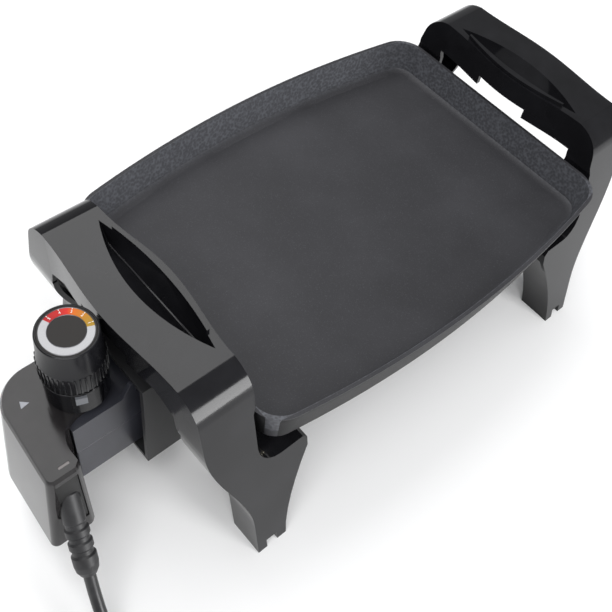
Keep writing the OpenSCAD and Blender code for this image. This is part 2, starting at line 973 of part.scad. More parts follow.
module pilot_lamp() {
    color([0.85, 0.6, 0.4])
        translate([lens_at[0], lens_at[1] + 2, cover_top - case_t - 18])
            cylinder(h = 16, r = 2.5);
}

// ---- swept tubes: wires and cord ----

function unit(v) = v / norm(v);

function tangent(p, i) =
    i == 0 ? unit(p[1] - p[0])
    : i == len(p) - 1 ? unit(p[i] - p[i - 1])
    : unit(p[i + 1] - p[i - 1]);

function ring(centre, t, r, n) =
    let(side = unit(cross(t, abs(t[2]) > 0.9 ? [1, 0, 0] : [0, 0, 1])), up = cross(side, t))
    [for (k = [0:n - 1]) centre + r * (cos(360 * k / n) * side + sin(360 * k / n) * up)];

module sweep(p, r, n = 8) {
    last = len(p) - 1;
    points = [for (i = [0:last]) each ring(p[i], tangent(p, i), r, n)];
    sides = [for (i = [0:last - 1], k = [0:n - 1])
        let(a = i * n + k, b = i * n + (k + 1) % n) [a, b, b + n, a + n]];
    polyhedron(points, concat([[for (k = [n - 1:-1:0]) k]], sides, [[for (k = [0:n - 1]) last * n + k]]));
}

wire_start = [lens_at[0], lens_at[1] + 2, cover_top - case_t - 20];
wire_y = pin_half;
wire_routes = [
    [wire_start, wire_start + [1.5, 10, 3.5], [knob_x - 20, -13, conn_z - 1.4],
     [knob_x - 10, -wire_y, conn_z - 0.4], [knob_x + 4, -wire_y, conn_z - 0.4],
     [socket_out - 0.1, -wire_y, conn_z]],
    [wire_start + [-2, 3, -2.5], [knob_x - 32, -14, conn_z - 6.4], [knob_x - 28, 2, conn_z - 2.4],
     [knob_x - 18, 9, conn_z - 0.4], [knob_x - 4, wire_y, conn_z - 0.4],
     [socket_out - 0.1, wire_y, conn_z]]];

module lead_wires() {
    color([0.75, 0.3, 0.2])
        for (w = wire_routes)
            sweep(w, 1.1);
}

module strain_relief() {
    color([0.07, 0.07, 0.07])
        boot_axis()
            rotate_extrude()
                polygon([[0, -10], [5, -10], [boot_r, -8], [boot_r, 9], [5.6, 10], [5.6, 12.5],
                         [6.6, 13.5], [6.6, 17], [5.7, 18], [5.7, 20.5], [6.7, 21.5], [6.7, 25],
                         [5.8, 26], [5.8, 28.5], [6.9, 29.5], [6.9, 35], [6.3, 38.5], [4.6, boot_len],
                         [0, boot_len]]);
}

module cord() {
    color([0.05, 0.05, 0.05]) {
        sweep(concat([boot_end, boot_end + 4 * boot_dir], cord_route), cord_d / 2, 10);
        sweep(tail_route, cord_d / 2, 10);
    }
}

module cord_coil() {
    color([0.05, 0.05, 0.05])
        translate([coil_centre[0], coil_centre[1], coil_lift])
            difference() {
                cylinder(h = coil_pitch, r = coil_r + coil_half);
                translate([0, 0, -1])
                    cylinder(h = cord_d + 3, r = coil_r - coil_half);
            }
}

module coil_tie() {
    inner = coil_r - coil_half;
    outer = coil_r + coil_half;
    color([0.2, 0.2, 0.2])
        translate([coil_centre[0], coil_centre[1] - 4, 0])
            difference() {
                translate([inner - 1.6, 0, 0])
                    cube([outer - inner + 3.2, 8, coil_lift + coil_pitch + 0.8]);
                translate([inner - 0.8, -1, coil_lift - 0.02])
                    cube([outer - inner + 1.7, 10, coil_pitch + 0.04]);
            }
}

module plug_body() {
    color([0.06, 0.06, 0.06])
        translate(plug_at)
            union() {
                rod_x(0, 10, cord_d / 2 + 1.2);
                hull() {
                    translate([9, -6, -5])
                        cube([1, 12, 10]);
                    translate([18, -plug_size[1] / 2, -plug_size[2] / 2])
                        cube([plug_size[0] - 18, plug_size[1], plug_size[2]]);
                }
            }
}

module plug_blades() {
    color([0.8, 0.76, 0.6])
        for (s = [-1, 1])
            translate([plug_at[0] + plug_size[0], plug_at[1] + s * 6.35 - 0.75, plug_at[2] - 3.2])
                cube([16, 1.5, 6.4]);
}

module placed() {
    translate([part_x, 0, 0])
        children();
}

placed() griddle_pan();
placed() heating_element();
placed() element_clamps();
placed() terminal_insulators();
placed() terminal_pins();
placed() left_end_frame();
placed() right_end_frame();
placed() frame_washers();
placed() frame_screws();
placed() socket_shroud();
placed() shroud_screws();
placed() control_cover();
placed() control_base();
placed() cord_panel();
placed() arm_upper_half();
placed() arm_lower_half();
placed() control_screws();
placed() dial_collar();
placed() dial_pointer();
placed() spindle_bush();
placed() knob();
placed() knob_dial();
placed() dial_spindle();
placed() socket_block();
placed() terminal_sockets();
placed() probe_tube();
placed() thermostat_frame();
placed() bimetal_strip();
placed() contact_blades();
placed() contact_insulators();
placed() pilot_lens();
placed() pilot_lamp();
placed() lead_wires();
placed() strain_relief();
placed() cord();
placed() cord_coil();
placed() coil_tie();
placed() plug_body();
placed() plug_blades();
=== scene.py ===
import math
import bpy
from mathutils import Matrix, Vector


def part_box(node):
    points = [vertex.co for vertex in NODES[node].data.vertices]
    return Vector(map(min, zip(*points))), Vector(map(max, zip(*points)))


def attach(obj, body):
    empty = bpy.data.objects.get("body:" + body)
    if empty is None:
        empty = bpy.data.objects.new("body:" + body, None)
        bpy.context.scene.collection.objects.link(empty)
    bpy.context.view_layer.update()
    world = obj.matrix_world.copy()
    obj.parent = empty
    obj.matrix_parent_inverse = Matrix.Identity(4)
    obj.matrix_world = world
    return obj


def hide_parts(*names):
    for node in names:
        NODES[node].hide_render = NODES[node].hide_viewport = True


bl_info = {
    "name": "Electric Griddle",
    "version": (1, 0, 0),
    "blender": (4, 5, 0),
    "location": "3D View > Sidebar > Griddle",
    "description": "Builds a table-top electric griddle with a plug-in heat control",
    "category": "Add Mesh",
}

import bmesh
import bpy
from bpy.props import FloatProperty, FloatVectorProperty, IntProperty, PointerProperty
from mathutils import Matrix, Vector

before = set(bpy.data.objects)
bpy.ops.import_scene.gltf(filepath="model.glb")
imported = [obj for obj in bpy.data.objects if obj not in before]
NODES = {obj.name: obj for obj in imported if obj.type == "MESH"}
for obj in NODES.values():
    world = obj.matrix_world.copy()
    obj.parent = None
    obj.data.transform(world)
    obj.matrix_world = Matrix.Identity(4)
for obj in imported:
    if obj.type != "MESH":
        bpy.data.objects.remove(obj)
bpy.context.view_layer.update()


def middle(node):
    low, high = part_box(node)
    return (low + high) / 2


# The pan's middle is where the route of the cord is measured from
PAN_X = middle("griddle_pan").x
DIAL = middle("knob_dial")
DIAL_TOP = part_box("knob_dial")[1].z
COVER_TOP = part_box("control_cover")[1].z


# ---------------------------------------------------------------- settings


class CordSettings(bpy.types.PropertyGroup):
    diameter: FloatProperty(name="Diameter", description="Thickness of the mains cord", default=0.007,
                            min=0.005, max=0.009, unit="LENGTH")
    length: FloatProperty(name="Length", description="Length from the strain relief to the plug",
                          default=0.925, min=0.5, max=1.5, unit="LENGTH")
    coil_radius: FloatProperty(name="Coil radius", description="Radius at the middle of the coil's turns",
                               default=0.039, min=0.03, max=0.06, unit="LENGTH")
    turns: FloatProperty(name="Turns", description="Turns of cord in the coil", default=2.75, min=1, max=6)


class FinishSettings(bpy.types.PropertyGroup):
    pan_colour: FloatVectorProperty(name="Pan", description="Colour of the non-stick coating",
                                    default=(0.038, 0.038, 0.042), size=3, subtype="COLOR")
    frame_colour: FloatVectorProperty(name="End frames", description="Colour of the glossy mouldings",
                                      default=(0.006, 0.006, 0.007), size=3, subtype="COLOR")
    arm_colour: FloatVectorProperty(name="Arm", description="Colour of the arm of the control",
                                    default=(0.028, 0.029, 0.037), size=3, subtype="COLOR")
    rounding: FloatProperty(name="Edge rounding", description="Radius on the edges of the end frames",
                            default=0.0009, min=0.0002, max=0.002, unit="LENGTH")


class DialSettings(bpy.types.PropertyGroup):
    marks: IntProperty(name="Marks", description="Number of heat marks round the dial", default=5,
                       min=3, max=12)
    first_angle: FloatProperty(name="First mark", description="Where the lowest heat mark stands",
                               default=math.radians(-12), subtype="ANGLE")
    last_angle: FloatProperty(name="Last mark", description="Where the highest heat mark stands",
                              default=math.radians(104), subtype="ANGLE")


class StudioSettings(bpy.types.PropertyGroup):
    lens: FloatProperty(name="Lens", description="Focal length in millimetres", default=50.3,
                        min=20, max=120)
    softbox: FloatProperty(name="Softbox", default=17, min=0, max=200, unit="POWER",
                           description="Power of the left softbox, which the other lights follow")
    floor_colour: FloatVectorProperty(name="Floor", description="Colour of the floor",
                                      default=(0.93, 0.93, 0.93), size=3, subtype="COLOR")


SETTINGS = {
    "griddle_cord": CordSettings,
    "griddle_finish": FinishSettings,
    "griddle_dial": DialSettings,
    "griddle_studio": StudioSettings,
}


# ---------------------------------------------------------------- shader maths


class Wire:
    """One output of a shader node. Arithmetic on it adds Math nodes."""

    def __init__(self, finish, socket):
        self.finish = finish
        self.socket = socket

    def math(self, operation, *values):
        node = self.finish.node("ShaderNodeMath", {"operation": operation}, dict(enumerate(values)))
        return Wire(self.finish, node.outputs[0])

    def __add__(self, other):
        return self.math("ADD", self, other)

    def __radd__(self, other):
        return self.math("ADD", other, self)

    def __sub__(self, other):
        return self.math("SUBTRACT", self, other)

    def __rsub__(self, other):
        return self.math("SUBTRACT", other, self)

    def __mul__(self, other):
        return self.math("MULTIPLY", self, other)

    def __rmul__(self, other):
        return self.math("MULTIPLY", other, self)

    def __truediv__(self, other):
        return self.math("DIVIDE", self, other)

    def __gt__(self, other):
        return self.math("GREATER_THAN", self, other)

    def __lt__(self, other):
        return self.math("LESS_THAN", self, other)

    def sine(self):
        return self.math("SINE", self)

    def smooth(self, start, end):
        """Goes from 0 at start to 1 at end."""
        settings = {"interpolation_type": "SMOOTHSTEP"}
        sockets = {"Value": self, "From Min": start, "From Max": end}
        return self.finish.wire("ShaderNodeMapRange", settings, sockets)


class Finish:
    """A node material with one Principled shader, and short ways to add to it."""

    def __init__(self, name, colour, roughness, metallic=0.0, coat=0.0):
        self.material = bpy.data.materials.new(name)
        self.material.use_nodes = True
        self.tree = self.material.node_tree
        self.shader = self.tree.nodes["Principled BSDF"]
        self.set("Base Color", (*colour, 1.0))
        self.set("Roughness", roughness)
        self.set("Metallic", metallic)
        self.set("Coat Weight", coat)
        coordinates = self.node("ShaderNodeTexCoord")
        self.place = Wire(self, coordinates.outputs["Object"])

    def node(self, kind, settings=None, sockets=None):
        made = self.tree.nodes.new(kind)
        for name, value in (settings or {}).items():
            if name == "stops":
                self.fill_ramp(made, value)
            else:
                setattr(made, name, value)
        for key, value in (sockets or {}).items():
            self.join(value, made.inputs[key])
        return made

    def fill_ramp(self, ramp, stops):
        elements = ramp.color_ramp.elements
        while len(elements) < len(stops):
            elements.new(0.5)
        for element, (position, colour) in zip(elements, stops):
            element.position = position
            element.color = (*colour, 1.0)

    def join(self, value, socket):
        if isinstance(value, Wire):
            self.tree.links.new(value.socket, socket)
        else:
            socket.default_value = value

    def wire(self, kind, settings=None, sockets=None, output=0):
        return Wire(self, self.node(kind, settings, sockets).outputs[output])

    def set(self, name, value):
        self.join(value, self.shader.inputs[name])

    def moved(self, centre=(0, 0, 0), scale=(1, 1, 1)):
        """Object coordinates about a centre, then stretched."""
        sockets = {0: self.place, 1: centre}
        place = self.wire("ShaderNodeVectorMath", {"operation": "SUBTRACT"}, sockets)
        return self.wire("ShaderNodeMapping", {}, {"Vector": place, "Scale": scale})

    def axes(self, place=None):
        split = self.node("ShaderNodeSeparateXYZ", {}, {0: place or self.place})
        return [Wire(self, output) for output in split.outputs]

    def noise(self, scale, detail=3.0, roughness=0.5, place=None):
        sockets = {"Vector": place or self.place, "Scale": scale,
                   "Detail": detail, "Roughness": roughness}
        return self.wire("ShaderNodeTexNoise", {}, sockets)

    def cells(self, scale):
        sockets = {"Vector": self.place, "Scale": scale}
        return self.wire("ShaderNodeTexVoronoi", {"feature": "SMOOTH_F1"}, sockets)

    def ramp(self, value, stops):
        return self.wire("ShaderNodeValToRGB", {"stops": stops}, {0: value})

    def mix(self, amount, first, second):
        colours = [c if isinstance(c, Wire) else (*c[:3], 1.0) for c in (first, second)]
        sockets = {0: amount, 6: colours[0], 7: colours[1]}
        return self.wire("ShaderNodeMix", {"data_type": "RGBA"}, sockets, output=2)

    def bump(self, height, strength, distance):
        sockets = {"Height": height, "Strength": strength, "Distance": distance}
        self.set("Normal", self.wire("ShaderNodeBump", {}, sockets))


def shade(colour, factor):
    return tuple(channel * factor for channel in colour[:3])


# ---------------------------------------------------------------- materials


# How the pan's sides bow out at the middle, and how far its wall leans in per metre of depth
PAN_BOW = 0.014
PAN_LEAN = 0.167
PAN_RIM = 0.0022
# Depths below the rim between which the hammered wall gives way to the floor
WALL_FOOT = 0.021
WALL_FADE = 0.017


def coated_casting(colour):
    """Dark non-stick coating: fine speckle on the floor, hammered texture with a painted sheen on the
    inner walls, and painted shade on the outer wall.
    """
    finish = Finish("Coated casting", colour, 0.46)
    finish.set("Specular IOR Level", 0.2)
    x, y, z = finish.axes()
    speckle = finish.noise(1500, 2, 0.7)
    cloud = finish.noise(16, 4, 0.55)
    hammer = finish.cells(620)
    low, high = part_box("griddle_pan")
    along = (x - PAN_X) / ((high.x - low.x) / 2)
    bow = PAN_BOW * along * along
    lean = (high.z - z) * PAN_LEAN
    across = y.math("ABSOLUTE", y) + bow + lean
    reach = (x - PAN_X).math("ABSOLUTE", x - PAN_X) + lean
    inside = (reach < (high.x - low.x) / 2 - PAN_RIM) * (across < high.y - PAN_RIM)
    # Painted shade: the outer wall below the rim is darkened to a fifth of the coating's colour
    shaded_outer_wall = (1 - inside) * (z < high.z - 0.0008)
    wall = z.smooth(high.z - WALL_FOOT, high.z - WALL_FADE) * inside
    flecks = speckle.smooth(0.56, 0.72)
    tone = finish.mix(cloud.smooth(0.3, 0.75), shade(colour, 0.86), shade(colour, 1.16))
    tone = finish.mix(flecks * 0.45, tone, shade(colour, 2.3))
    tone = finish.mix(shaded_outer_wall, tone, shade(colour, 0.2))
    # Painted sheen: the hammered inner walls are lightened towards a blue grey, patchy with the hammer
    # cells
    painted_wall_sheen = 0.25 + hammer.smooth(0.2, 0.75) * 0.5
    tone = finish.mix(wall * painted_wall_sheen, tone, (0.12, 0.125, 0.14))
    finish.set("Base Color", tone)
    finish.set("Roughness", 0.42 + cloud * 0.12 + speckle * 0.1 - wall * 0.12)
    finish.bump(hammer * wall * 1.2 + speckle * 0.3, 0.3, 0.0004)
    return finish.material


def glossy_moulding(name, colour, roughness=0.11):
    """Moulded resin with a high shine, faint flow waviness and handling haze."""
    finish = Finish(name, colour, roughness)
    finish.set("IOR", 1.34)
    haze = finish.noise(26, 4, 0.6)
    dust = finish.noise(900, 2, 0.8)
    flow = finish.noise(7, 2, 0.4)
    finish.set("Base Color", finish.mix(haze.smooth(0.35, 0.75), colour, shade(colour, 1.9)))
    rough = roughness + haze.smooth(0.4, 0.8) * 0.08 + dust.smooth(0.62, 0.8) * 0.12
    finish.set("Roughness", rough)
    finish.bump(flow + dust * 0.01, 0.25, 0.0012)
    return finish.material


def satin_moulding(name, colour, roughness=0.42):
    """Moulded resin with a fine spark-eroded grain."""
    finish = Finish(name, colour, roughness)
    pits = finish.noise(1400, 2, 0.6)
    cloud = finish.noise(30, 3, 0.5)
    finish.set("Base Color", finish.mix(cloud.smooth(0.3, 0.8), colour, shade(colour, 1.5)))
    finish.set("Roughness", roughness - 0.06 + pits * 0.14 + cloud * 0.05)
    finish.bump(pits, 0.3, 0.0002)
    return finish.material


def rolled_steel(name, colour, roughness, along=(1, 12, 12)):
    """Plain steel with a fine grain along one direction."""
    finish = Finish(name, colour, roughness, metallic=1.0)
    grain = finish.noise(260, 3, 0.6, finish.moved(scale=along))
    stain = finish.noise(45, 3, 0.6)
    finish.set("Base Color", finish.mix(stain.smooth(0.4, 0.8), colour, shade(colour, 0.78)))
    finish.set("Roughness", roughness - 0.06 + grain * 0.2)
    finish.bump(grain, 0.2, 0.00012)
    return finish.material


def tempered_sheath(colour):
    """Sheath of the heating tube, blued and browned by heat."""
    finish = Finish("Tempered sheath", colour, 0.38, metallic=0.9)
    bands = finish.noise(22, 3, 0.6)
    scale = finish.noise(700, 3, 0.7)
    stops = [(0.3, (0.10, 0.10, 0.13)), (0.5, (0.17, 0.14, 0.12)), (0.7, (0.24, 0.2, 0.15))]
    finish.set("Base Color", finish.ramp(bands, stops))
    finish.set("Roughness", 0.3 + scale * 0.3)
    finish.bump(scale, 0.25, 0.0002)
    return finish.material


def plain_ceramic():
    """Unglazed steatite with pale flecks."""
    finish = Finish("Steatite", (0.72, 0.69, 0.61), 0.7)
    fleck = finish.noise(1100, 2, 0.7)
    cloud = finish.noise(60, 3, 0.5)
    finish.set("Base Color", finish.mix(cloud, (0.72, 0.69, 0.61), (0.62, 0.58, 0.5)))
    finish.set("Roughness", 0.6 + fleck * 0.25)
    finish.bump(fleck, 0.3, 0.0002)
    return finish.material


def cord_vinyl(name, roughness):
    """Black vinyl sheath, slightly dusty, with a faint drawn texture."""
    finish = Finish(name, (0.012, 0.012, 0.013), roughness)
    cloud = finish.noise(90, 3, 0.6)
    pores = finish.noise(1700, 2, 0.7)
    dusty = cloud.smooth(0.35, 0.8)
    finish.set("Base Color", finish.mix(dusty, (0.011, 0.011, 0.012), (0.03, 0.03, 0.032)))
    finish.set("Roughness", roughness - 0.05 + cloud * 0.16)
    finish.bump(pores + cloud * 0.4, 0.2, 0.0002)
    return finish.material


def woven_strap():
    """Hook-and-loop strap with a ribbed weave."""
    finish = Finish("Woven strap", (0.02, 0.02, 0.022), 0.85)
    x, y, _ = finish.axes()
    ribs = ((x * 5200).sine() * (y * 5200).sine() + 1) * 0.5
    fuzz = finish.noise(1900, 3, 0.7)
    finish.set("Base Color", finish.mix(ribs * fuzz, (0.014, 0.014, 0.016), (0.06, 0.06, 0.064)))
    finish.set("Roughness", 0.78 + fuzz * 0.2)
    finish.bump(ribs + fuzz * 0.6, 0.5, 0.0003)
    return finish.material


def tinted_window(name, colour):
    """Deep red window over the lamp, a little cloudy inside."""
    finish = Finish(name, colour, 0.08, coat=0.5)
    cloud = finish.noise(400, 2, 0.6)
    finish.set("Base Color", finish.mix(cloud, colour, shade(colour, 0.45)))
    finish.set("Roughness", 0.08 + cloud * 0.1)
    return finish.material


def wire_sleeve():
    finish = Finish("Wire sleeve", (0.45, 0.05, 0.03), 0.5)
    weave = finish.noise(1300, 2, 0.6)
    finish.set("Base Color", finish.mix(weave, (0.5, 0.06, 0.035), (0.28, 0.03, 0.02)))
    finish.set("Roughness", 0.42 + weave * 0.2)
    finish.bump(weave, 0.3, 0.0002)
    return finish.material


# Grip ribs of the knob: how many, how tall, how thick, and how far they stand out
KNOB_RIBS = 40
KNOB_RIB = 0.013
RIB_THICK = 0.0011
RIB_STANDS = 0.0006
KNOB_WALL = 0.0024
# Edges of the printed ring on the dial
RING_INNER = 0.0094
RING_OUTER = 0.0137
HEAT_COLOURS = [
    (0.0, (0.34, 0.20, 0.01)),
    (0.45, (0.58, 0.12, 0.003)),
    (0.62, (0.55, 0.015, 0.008)),
    (1.0, (0.36, 0.006, 0.008)),
]


def printed_dial(first, last):
    """Satin silver ring with a band of heat colours and a dark middle."""
    finish = Finish("Printed dial", (0.6, 0.6, 0.61), 0.33)
    finish.set("Specular IOR Level", 0.15)
    place = finish.moved((DIAL.x, DIAL.y, 0))
    x, y, _ = finish.axes(place)
    radius = (x * x + y * y).math("SQRT", x * x + y * y)
    # The angle is measured from the middle of the band, so that its jump is on the far side
    turn = (first + last) / 2
    angle = (y * math.cos(turn) - x * math.sin(turn)).math(
        "ARCTAN2", y * math.cos(turn) - x * math.sin(turn), x * math.cos(turn) + y * math.sin(turn))
    half = (last - first) / 2
    share = angle.smooth(-half, half)
    inside = (radius > RING_INNER) * (radius < RING_OUTER)
    band = inside * (angle > -half) * (angle < half)
    spun = finish.noise(1400, 2, 0.6, finish.moved((DIAL.x, DIAL.y, 0), (1, 1, 0.2)))
    silver = finish.mix(spun, (0.33, 0.33, 0.34), (0.43, 0.43, 0.44))
    tone = finish.mix(band, silver, finish.ramp(share, HEAT_COLOURS))
    tone = finish.mix(inside, (0.011, 0.009, 0.008), tone)
    finish.set("Base Color", tone)
    finish.set("Metallic", (1 - band) * inside * 0.1)
    finish.set("Roughness", 0.24 + spun * 0.16)
    finish.bump(spun, 0.1, 0.0001)
    return finish.material


def mark_ink(name, colour):
    """Printed or moulded mark with slightly worn ink."""
    finish = Finish(name, colour, 0.5)
    wear = finish.noise(2400, 2, 0.7)
    finish.set("Base Color", finish.mix(wear.smooth(0.45, 0.8), colour, shade(colour, 0.7)))
    finish.set("Roughness", 0.42 + wear * 0.2)
    return finish.material


def pale_floor(colour):
    finish = Finish("Pale floor", colour, 0.75)
    cloud = finish.noise(3, 3, 0.5)
    finish.set("Base Color", finish.mix(cloud, colour, shade(colour, 0.985)))
    return finish.material


# ---------------------------------------------------------------- mesh helpers


def give(obj, material):
    obj.data.materials.clear()
    obj.data.materials.append(material)


def dress(material, *names):
    """Puts a material on CAD nodes whose shape is already right."""
    for name in names:
        give(NODES[name], material)


def linked(name, mesh_or_curve):
    obj = bpy.data.objects.new(name, mesh_or_curve)
    bpy.context.scene.collection.objects.link(obj)
    return obj


def piece_from(name, bm, material, body):
    """Turns a bmesh into a piece that rides on a body."""
    bmesh.ops.recalc_face_normals(bm, faces=bm.faces[:])
    mesh = bpy.data.meshes.new(name)
    bm.to_mesh(mesh)
    bm.free()
    obj = linked(name, mesh)
    give(obj, material)
    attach(obj, body)
    return obj


def smooth_by_angle(mesh, angle):
    mesh.polygons.foreach_set("use_smooth", [True] * len(mesh.polygons))
    mesh.set_sharp_from_angle(angle=math.radians(angle))


def moulded(node, material, body, width, angle=32, segments=3):
    """Stands in for a CAD node with a merged copy whose edges are rounded."""
    bm = bmesh.new()
    bm.from_mesh(NODES[node].data)
    bmesh.ops.remove_doubles(bm, verts=bm.verts[:], dist=2e-6)
    bmesh.ops.dissolve_limit(bm, angle_limit=math.radians(0.6), verts=bm.verts[:], edges=bm.edges[:])
    mesh = bpy.data.meshes.new(node + "_finished")
    bm.to_mesh(mesh)
    bm.free()
    obj = linked(node + "_finished", mesh)
    give(obj, material)
    smooth_by_angle(mesh, angle)
    bevel = obj.modifiers.new("Rounded edges", "BEVEL")
    bevel.width = width
    bevel.segments = segments
    bevel.limit_method = "ANGLE"
    bevel.angle_limit = math.radians(angle)
    bevel.use_clamp_overlap = True
    bevel.miter_outer = "MITER_ARC"
    normals = obj.modifiers.new("Flat faces stay flat", "WEIGHTED_NORMAL")
    normals.mode = "FACE_AREA"
    normals.weight = 80
    normals.keep_sharp = True
    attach(obj, body)
    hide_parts(node)


def revolved(name, profile, centre, steps, material, body):
    """Spins a profile of radius and height round an upright axis."""
    bm = bmesh.new()
    verts = [bm.verts.new((centre[0] + radius, centre[1], height)) for radius, height in profile]
    edges = [bm.edges.new(pair) for pair in zip(verts, verts[1:] + verts[:1])]
    bmesh.ops.spin(bm, geom=verts + edges, cent=centre, axis=(0, 0, 1), angle=2 * math.pi,
                   steps=steps, use_merge=True)
    bmesh.ops.remove_doubles(bm, verts=bm.verts[:], dist=1e-7)
    obj = piece_from(name, bm, material, body)
    smooth_by_angle(obj.data, 35)
    return obj


# ---------------------------------------------------------------- cord

# Points along the free stretch, in metres from the pan's middle
FREE_ROUTE = [
    (-0.243, -0.076, 0.0305), (-0.246, -0.087, 0.0205), (-0.248, -0.099, 0.0125),
    (-0.250, -0.112, 0.0070), (-0.252, -0.126, 0.0045), (-0.253, -0.140, 0.0042),
    (-0.254, -0.155, 0.0042), (-0.254, -0.174, 0.0042),
]
# and from the coil to the plug
TAIL_ROUTE = [
    (-0.205, -0.166, 0.0042), (-0.211, -0.1665, 0.0056), (-0.217, -0.168, 0.0079),
    (-0.226, -0.1735, 0.0110), (-0.234, -0.183, 0.0120), (-0.2375, -0.195, 0.0120),
    (-0.2365, -0.208, 0.0120), (-0.230, -0.220, 0.0125), (-0.220, -0.229, 0.0140),
    (-0.209, -0.233, 0.0155), (-0.200, -0.233, 0.0155),
]
COIL_CENTRE = (-0.205, -0.195)
COIL_HEIGHT = 0.0042
COIL_GAP = 0.0002
POINTS_PER_TURN = 20
BOOT_STRAIGHT = 0.004
# Strain relief: where its axis ends, and the way it points
BOOT_ROOT = Vector((-0.231, -0.041, 0.072))
BOOT_LENGTH = 0.0415
BOOT_TILT = math.radians(138.5)
BOOT_TURN = math.radians(-109)
BOOT_WAY = Vector((
    math.sin(BOOT_TILT) * math.cos(BOOT_TURN),
    math.sin(BOOT_TILT) * math.sin(BOOT_TURN),
    math.cos(BOOT_TILT),
))


def coil_points(settings):
    """A flat spiral of turns side by side, from the outer one inward."""
    pitch = settings.diameter + COIL_GAP
    outer = settings.coil_radius + settings.turns * pitch / 2
    count = round(settings.turns * POINTS_PER_TURN)
    points = []
    for i in range(count):
        turned = settings.turns * i / count
        angle = math.pi + 2 * math.pi * turned
        radius = outer - pitch * turned
        points.append((COIL_CENTRE[0] + radius * math.cos(angle),
                       COIL_CENTRE[1] + radius * math.sin(angle), COIL_HEIGHT))
    return points


class GRIDDLE_OT_cord(bpy.types.Operator):
    """Lay the mains cord from its strain relief to the plug, with its coil"""

    bl_idname = "griddle.cord"
    bl_label = "Mains cord"

    def execute(self, context):
        settings = context.scene.griddle_cord
        exit_point = BOOT_ROOT + BOOT_LENGTH * BOOT_WAY
        start = [tuple(exit_point), tuple(exit_point + BOOT_STRAIGHT * BOOT_WAY)]
        route = start + FREE_ROUTE + coil_points(settings) + TAIL_ROUTE
        route = [(x + PAN_X, y, z) for x, y, z in route]
        curve = bpy.data.curves.new("mains_cord", "CURVE")
        curve.dimensions = "3D"
        curve.bevel_depth = settings.diameter / 2
        curve.bevel_resolution = 5
        curve.resolution_u = 4
        curve.use_fill_caps = True
        spline = curve.splines.new("BEZIER")
        spline.bezier_points.add(len(route) - 1)
        for point, place in zip(spline.bezier_points, route):
            point.co = place
            point.handle_left_type = "AUTO"
            point.handle_right_type = "AUTO"
        cord = linked("mains_cord", curve)
        curve.materials.append(cord_vinyl("Cord vinyl", 0.36))
        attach(cord, "control")
        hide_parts("cord", "cord_coil")
        return {"FINISHED"}


class GRIDDLE_OT_plug(bpy.types.Operator):
    """Finish the plug, its blades and the strap round the coil"""

    bl_idname = "griddle.plug"
    bl_label = "Plug and strap"

    def execute(self, context):
        dress(cord_vinyl("Plug vinyl", 0.44), "plug_body")
        dress(rolled_steel("Blade brass", (0.75, 0.68, 0.45), 0.25), "plug_blades")
        dress(woven_strap(), "coil_tie")
        return {"FINISHED"}


# ---------------------------------------------------------------- griddle


class GRIDDLE_OT_pan(bpy.types.Operator):
    """Finish the cast pan with its coating and softened edges"""

    bl_idname = "griddle.pan"
    bl_label = "Pan"

    def execute(self, context):
        finish = context.scene.griddle_finish
        moulded("griddle_pan", coated_casting(finish.pan_colour), "griddle",
                0.0008, angle=38)
        return {"FINISHED"}


class GRIDDLE_OT_end_frames(bpy.types.Operator):
    """Finish the two moulded end frames"""

    bl_idname = "griddle.end_frames"
    bl_label = "End frames"

    def execute(self, context):
        finish = context.scene.griddle_finish
        material = glossy_moulding("Frame resin", finish.frame_colour)
        for node in ("left_end_frame", "right_end_frame"):
            moulded(node, material, "griddle", finish.rounding)
        return {"FINISHED"}


class GRIDDLE_OT_inlet(bpy.types.Operator):
    """Finish the inlet shroud, its pins and the metalwork under the pan"""

    bl_idname = "griddle.inlet"
    bl_label = "Inlet and underside"

    def execute(self, context):
        moulded("socket_shroud", satin_moulding("Shroud resin", (0.008, 0.008, 0.009)), "griddle",
                0.0008)
        dress(tempered_sheath((0.16, 0.14, 0.13)), "heating_element")
        dress(rolled_steel("Strap steel", (0.55, 0.55, 0.56), 0.34), "element_clamps")
        dress(rolled_steel("Screw steel", (0.5, 0.5, 0.52), 0.28, (6, 6, 1)), "frame_screws",
              "shroud_screws")
        dress(rolled_steel("Washer plate", (0.62, 0.58, 0.46), 0.3, (8, 8, 1)), "frame_washers")
        dress(rolled_steel("Pin nickel", (0.68, 0.66, 0.6), 0.2, (1, 14, 14)), "terminal_pins")
        dress(plain_ceramic(), "terminal_insulators")
        return {"FINISHED"}


# ---------------------------------------------------------------- control


class GRIDDLE_OT_housing(bpy.types.Operator):
    """Finish the control's cover, base, cord panel and arm"""

    bl_idname = "griddle.housing"
    bl_label = "Control housing"

    def execute(self, context):
        finish = context.scene.griddle_finish
        cover = glossy_moulding("Cover resin", (0.012, 0.011, 0.0115), 0.1)
        moulded("control_cover", cover, "control", 0.0006, angle=40, segments=2)
        moulded("control_base", satin_moulding("Base resin", (0.02, 0.02, 0.021)), "control",
                0.0004)
        dress(satin_moulding("Panel resin", (0.004, 0.004, 0.004), 0.5), "cord_panel")
        dress(cord_vinyl("Boot vinyl", 0.45), "strain_relief")
        arm = satin_moulding("Arm resin", finish.arm_colour, 0.3)
        for node in ("arm_upper_half", "arm_lower_half"):
            moulded(node, arm, "control", 0.0007)
        return {"FINISHED"}


